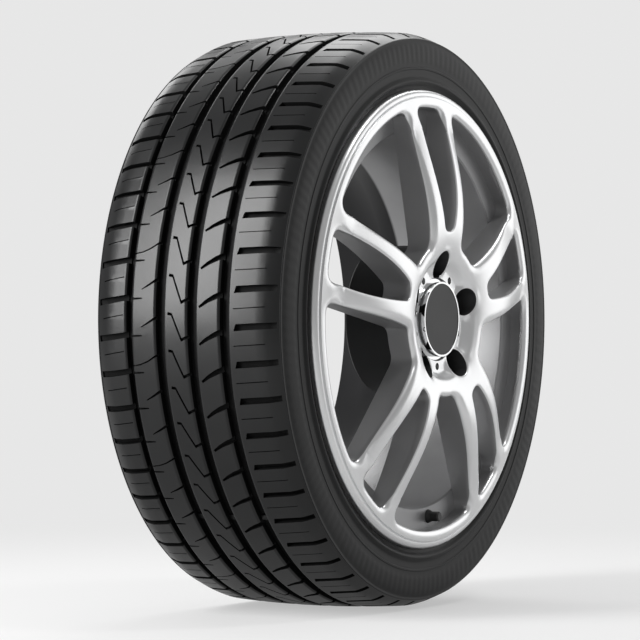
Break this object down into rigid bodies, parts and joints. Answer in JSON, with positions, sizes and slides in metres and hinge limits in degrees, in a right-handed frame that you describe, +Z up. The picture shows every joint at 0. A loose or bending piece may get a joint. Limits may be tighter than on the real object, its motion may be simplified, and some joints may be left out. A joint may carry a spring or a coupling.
{
  "type": "car wheel with tyre",
  "caption": "Low-profile car tyre mounted on a cast alloy wheel with paired spokes, deep bolt wells, a snap-in centre cap and a rubber valve; bolts to a hub flange.",
  "frame": {"origin": "centre of the hub mounting face, on the spin axis", "axes": "+Y along the spin axis and inboard, towards the car; the spoked face looks to -Y; +Z up"},
  "size_m": [0.596, 0.248, 0.596],
  "materials": {
    "tyre_rubber": "matt moulded rubber",
    "silver_alloy": "bright silver, dark inside the barrel",
    "cap_chrome": "bright chromed plastic",
    "cap_dark": "plain dark satin",
    "valve_rubber": "smooth rubber",
    "valve_brass": "bright turned",
    "valve_plastic": "matt black"
  },
  "bodies": {
    "root": {"tyre": "tyre_rubber", "alloy_wheel": "silver_alloy", "cap_ring": "cap_chrome", "cap_disc": "cap_dark", "valve_body": "valve_rubber", "valve_tube": "valve_brass", "valve_core": "valve_brass", "valve_cap": "valve_plastic"}
  },
  "joints": []
}
